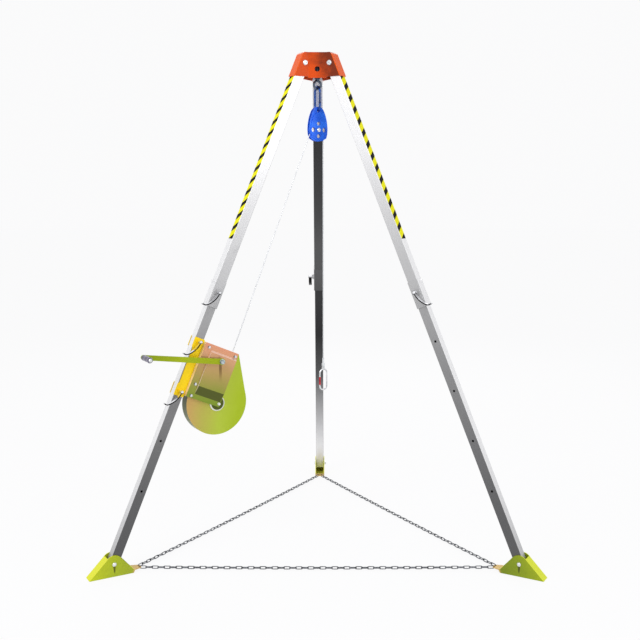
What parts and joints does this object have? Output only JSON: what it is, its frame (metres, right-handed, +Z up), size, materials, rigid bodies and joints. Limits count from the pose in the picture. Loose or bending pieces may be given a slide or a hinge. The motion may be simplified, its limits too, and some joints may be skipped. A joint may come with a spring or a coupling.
{
  "type": "rescue tripod with hand winch",
  "caption": "Folding rescue tripod with telescopic square legs, chained feet, a hanging pulley, and a geared hand winch pinned to a leg that lifts a snap hook on wire rope",
  "frame": {"origin": "on the ground under the middle of the head", "axes": "+Z up, -Y towards the viewer of the picture, +X to the viewer's right"},
  "size_m": [2.0168, 1.7465, 2.3049],
  "materials": {
    "head_paint": "satin",
    "bolt_steel": "satin",
    "eye_steel": "satin",
    "carabiner_steel": "satin",
    "pulley_blue": "gloss",
    "sheave_alloy": "satin",
    "rope_wire": "satin",
    "hook_steel": "gloss",
    "gate_red": "gloss",
    "leg_alloy": "satin",
    "lower_alloy": "satin",
    "handle_chrome": "gloss",
    "zinc_yellow": "gloss",
    "bracket_yellow": "gloss",
    "cover_zinc": "gloss",
    "chain_steel": "satin",
    "gear_steel": "satin",
    "grip_chrome": "gloss",
    "roller_nylon": "matte"
  },
  "bodies": {
    "head": {"head_shell": "head_paint", "hinge_bolts": "bolt_steel", "anchor_eye": "eye_steel", "carabiner_body": "carabiner_steel", "pulley_front": "pulley_blue", "pulley_rear": "pulley_blue", "pulley_axle": "bolt_steel", "rope_bend": "rope_wire"},
    "carabiner_gate": {"carabiner_gate": "carabiner_steel"},
    "sheave": {"sheave": "sheave_alloy"},
    "hook_carrier": {"rope_socket": "bolt_steel", "rope_fall": "rope_wire"},
    "hook": {"hook_body": "hook_steel"},
    "hook_gate": {"hook_gate": "gate_red"},
    "upper_leg_left": {"upper_tube_left": "leg_alloy", "collar_left": "leg_alloy"},
    "lock_left": {"lock_pin_left": "handle_chrome"},
    "lower_leg_left": {"lower_tube_left": "lower_alloy", "foot_pin_left": "bolt_steel", "chain_left_front": "chain_steel", "chain_left_rear": "chain_steel", "winch_bracket": "bracket_yellow", "winch_plate": "zinc_yellow", "drum_housing": "zinc_yellow", "gearbox_cover": "cover_zinc", "cover_bolts": "bolt_steel", "drum_shaft": "bolt_steel", "guide_pin": "bolt_steel", "rope_lead": "rope_wire"},
    "foot_left": {"foot_left": "zinc_yellow"},
    "upper_leg_right": {"upper_tube_right": "leg_alloy", "collar_right": "leg_alloy"},
    "lock_right": {"lock_pin_right": "handle_chrome"},
    "lower_leg_right": {"lower_tube_right": "lower_alloy", "foot_pin_right": "bolt_steel", "chain_right_front": "chain_steel", "chain_right_rear": "chain_steel"},
    "foot_right": {"foot_right": "zinc_yellow"},
    "upper_leg_rear": {"upper_tube_rear": "leg_alloy", "collar_rear": "leg_alloy"},
    "lock_rear": {"lock_pin_rear": "handle_chrome"},
    "lower_leg_rear": {"lower_tube_rear": "lower_alloy", "foot_pin_rear": "bolt_steel", "chain_rear_left": "chain_steel", "chain_rear_right": "chain_steel"},
    "foot_rear": {"foot_rear": "zinc_yellow"},
    "drum": {"drum": "gear_steel", "drum_gear": "gear_steel", "rope_winding": "rope_wire"},
    "layshaft": {"layshaft": "gear_steel"},
    "crank": {"crank_shaft": "gear_steel", "crank_arm": "zinc_yellow", "crank_nut": "bolt_steel", "grip_spindle": "bolt_steel"},
    "grip": {"crank_grip": "grip_chrome"},
    "guide_roller": {"guide_roller": "roller_nylon"},
    "winch_pin_upper": {"winch_pin_upper": "handle_chrome"},
    "winch_pin_lower": {"winch_pin_lower": "handle_chrome"}
  },
  "joints": [
    {"name": "leg_fold_left", "type": "hinge", "parent": "head", "child": "upper_leg_left", "pos_m": [-0.06928, -0.04, 2.25694], "axis": [0.5, -0.866, 0], "range_deg": [0, 10], "deforming": ["chain_left_front", "chain_left_rear", "rope_lead"]},
    {"name": "leg_slide_left", "type": "slide", "parent": "upper_leg_left", "child": "lower_leg_left", "axis": [0.3453, 0.1994, 0.9171], "range_m": [0, 0.14], "deforming": ["chain_left_front", "chain_left_rear", "rope_lead"]},
    {"name": "lock_pull_left", "type": "slide", "parent": "upper_leg_left", "child": "lock_left", "axis": [0.5, -0.866, 0], "range_m": [0, 0.012], "stiffness_N_per_m": 700, "springref_m": -0.006},
    {"name": "foot_tilt_left", "type": "hinge", "parent": "lower_leg_left", "child": "foot_left", "pos_m": [-0.89807, -0.5185, 0.056], "axis": [0.5, -0.866, 0], "range_deg": [-12, 12], "deforming": ["chain_left_front", "chain_left_rear"]},
    {"name": "leg_fold_right", "type": "hinge", "parent": "head", "child": "upper_leg_right", "pos_m": [0.06928, -0.04, 2.25694], "axis": [0.5, 0.866, 0], "range_deg": [0, 15], "deforming": ["chain_right_front", "chain_right_rear"]},
    {"name": "leg_slide_right", "type": "slide", "parent": "upper_leg_right", "child": "lower_leg_right", "axis": [-0.3453, 0.1994, 0.9171], "range_m": [0, 0.235], "deforming": ["chain_right_front", "chain_right_rear"]},
    {"name": "lock_pull_right", "type": "slide", "parent": "upper_leg_right", "child": "lock_right", "axis": [-0.5, -0.866, 0], "range_m": [0, 0.012], "stiffness_N_per_m": 700, "springref_m": -0.006},
    {"name": "foot_tilt_right", "type": "hinge", "parent": "lower_leg_right", "child": "foot_right", "pos_m": [0.89807, -0.5185, 0.056], "axis": [0.5, 0.866, 0], "range_deg": [-12, 12], "deforming": ["chain_right_front", "chain_right_rear"]},
    {"name": "leg_fold_rear", "type": "hinge", "parent": "head", "child": "upper_leg_rear", "pos_m": [0, 0.08, 2.25694], "axis": [-1, 0, 0], "range_deg": [0, 15], "deforming": ["chain_rear_left", "chain_rear_right"]},
    {"name": "leg_slide_rear", "type": "slide", "parent": "upper_leg_rear", "child": "lower_leg_rear", "axis": [0, -0.3987, 0.9171], "range_m": [0, 0.235], "deforming": ["chain_rear_left", "chain_rear_right"]},
    {"name": "lock_pull_rear", "type": "slide", "parent": "upper_leg_rear", "child": "lock_rear", "axis": [-1, 0, 0], "range_m": [0, 0.012], "stiffness_N_per_m": 700, "springref_m": -0.006},
    {"name": "foot_tilt_rear", "type": "hinge", "parent": "lower_leg_rear", "child": "foot_rear", "pos_m": [0, 1.037, 0.056], "axis": [-1, 0, 0], "range_deg": [-12, 12], "deforming": ["chain_rear_left", "chain_rear_right"]},
    {"name": "drum_spin", "type": "hinge", "parent": "lower_leg_left", "child": "drum", "pos_m": [-0.46814, -0.27028, 0.72122], "axis": [-0.5, 0.866, 0], "range_deg": [0, 540], "deforming": ["rope_winding", "rope_fall"]},
    {"name": "layshaft_spin", "type": "hinge", "parent": "lower_leg_left", "child": "layshaft", "pos_m": [-0.49439, -0.28543, 0.84352], "axis": [-0.5, 0.866, 0], "range_deg": [-1161, 0]},
    {"name": "crank_spin", "type": "hinge", "parent": "lower_leg_left", "child": "crank", "pos_m": [-0.46258, -0.26707, 0.91907], "axis": [-0.5, 0.866, 0], "range_deg": [0, 1887]},
    {"name": "grip_spin", "type": "hinge", "parent": "crank", "child": "grip", "pos_m": [-0.72661, -0.53498, 0.96874], "axis": [0.5, -0.866, 0], "continuous": true},
    {"name": "roller_spin", "type": "hinge", "parent": "lower_leg_left", "child": "guide_roller", "pos_m": [-0.38492, -0.22223, 0.92369], "axis": [0.5, -0.866, 0], "continuous": true},
    {"name": "sheave_spin", "type": "hinge", "parent": "head", "child": "sheave", "pos_m": [0, 0, 1.95824], "axis": [0.5, -0.866, 0], "range_deg": [0, 1244]},
    {"name": "hook_hoist", "type": "slide", "parent": "head", "child": "hook_carrier", "axis": [0, 0, 1], "range_m": [0, 0.66], "deforming": ["rope_fall"]},
    {"name": "hook_swivel", "type": "hinge", "parent": "hook_carrier", "child": "hook", "pos_m": [0.02633, 0.0152, 0.824], "axis": [0, 0, 1], "continuous": true},
    {"name": "hook_gate_open", "type": "hinge", "parent": "hook", "child": "hook_gate", "pos_m": [0.00987, 0.0057, 0.7465], "axis": [-0.5, 0.866, 0], "range_deg": [0, 22], "stiffness_Nm_per_rad": 0.08, "springref_deg": -17.19},
    {"name": "carabiner_gate_open", "type": "hinge", "parent": "head", "child": "carabiner_gate", "pos_m": [0.0115, -0.01992, 2.08324], "axis": [-0.866, -0.5, 0], "range_deg": [0, 20], "stiffness_Nm_per_rad": 0.1, "springref_deg": -17.19},
    {"name": "winch_pin_pull_upper", "type": "slide", "parent": "lower_leg_left", "child": "winch_pin_upper", "axis": [0.5, -0.866, 0], "range_m": [0, 0.012], "stiffness_N_per_m": 700, "springref_m": -0.006},
    {"name": "winch_pin_pull_lower", "type": "slide", "parent": "lower_leg_left", "child": "winch_pin_lower", "axis": [0.5, -0.866, 0], "range_m": [0, 0.012], "stiffness_N_per_m": 700, "springref_m": -0.006}
  ],
  "couplings": [
    {"joint": "layshaft_spin", "follows": "drum_spin", "ratio": -2.15},
    {"joint": "crank_spin", "follows": "drum_spin", "ratio": 3.4937},
    {"joint": "sheave_spin", "follows": "drum_spin", "ratio": 2.3026},
    {"joint": "hook_hoist", "follows": "drum_spin", "m_per_rad": 0.07}
  ]
}
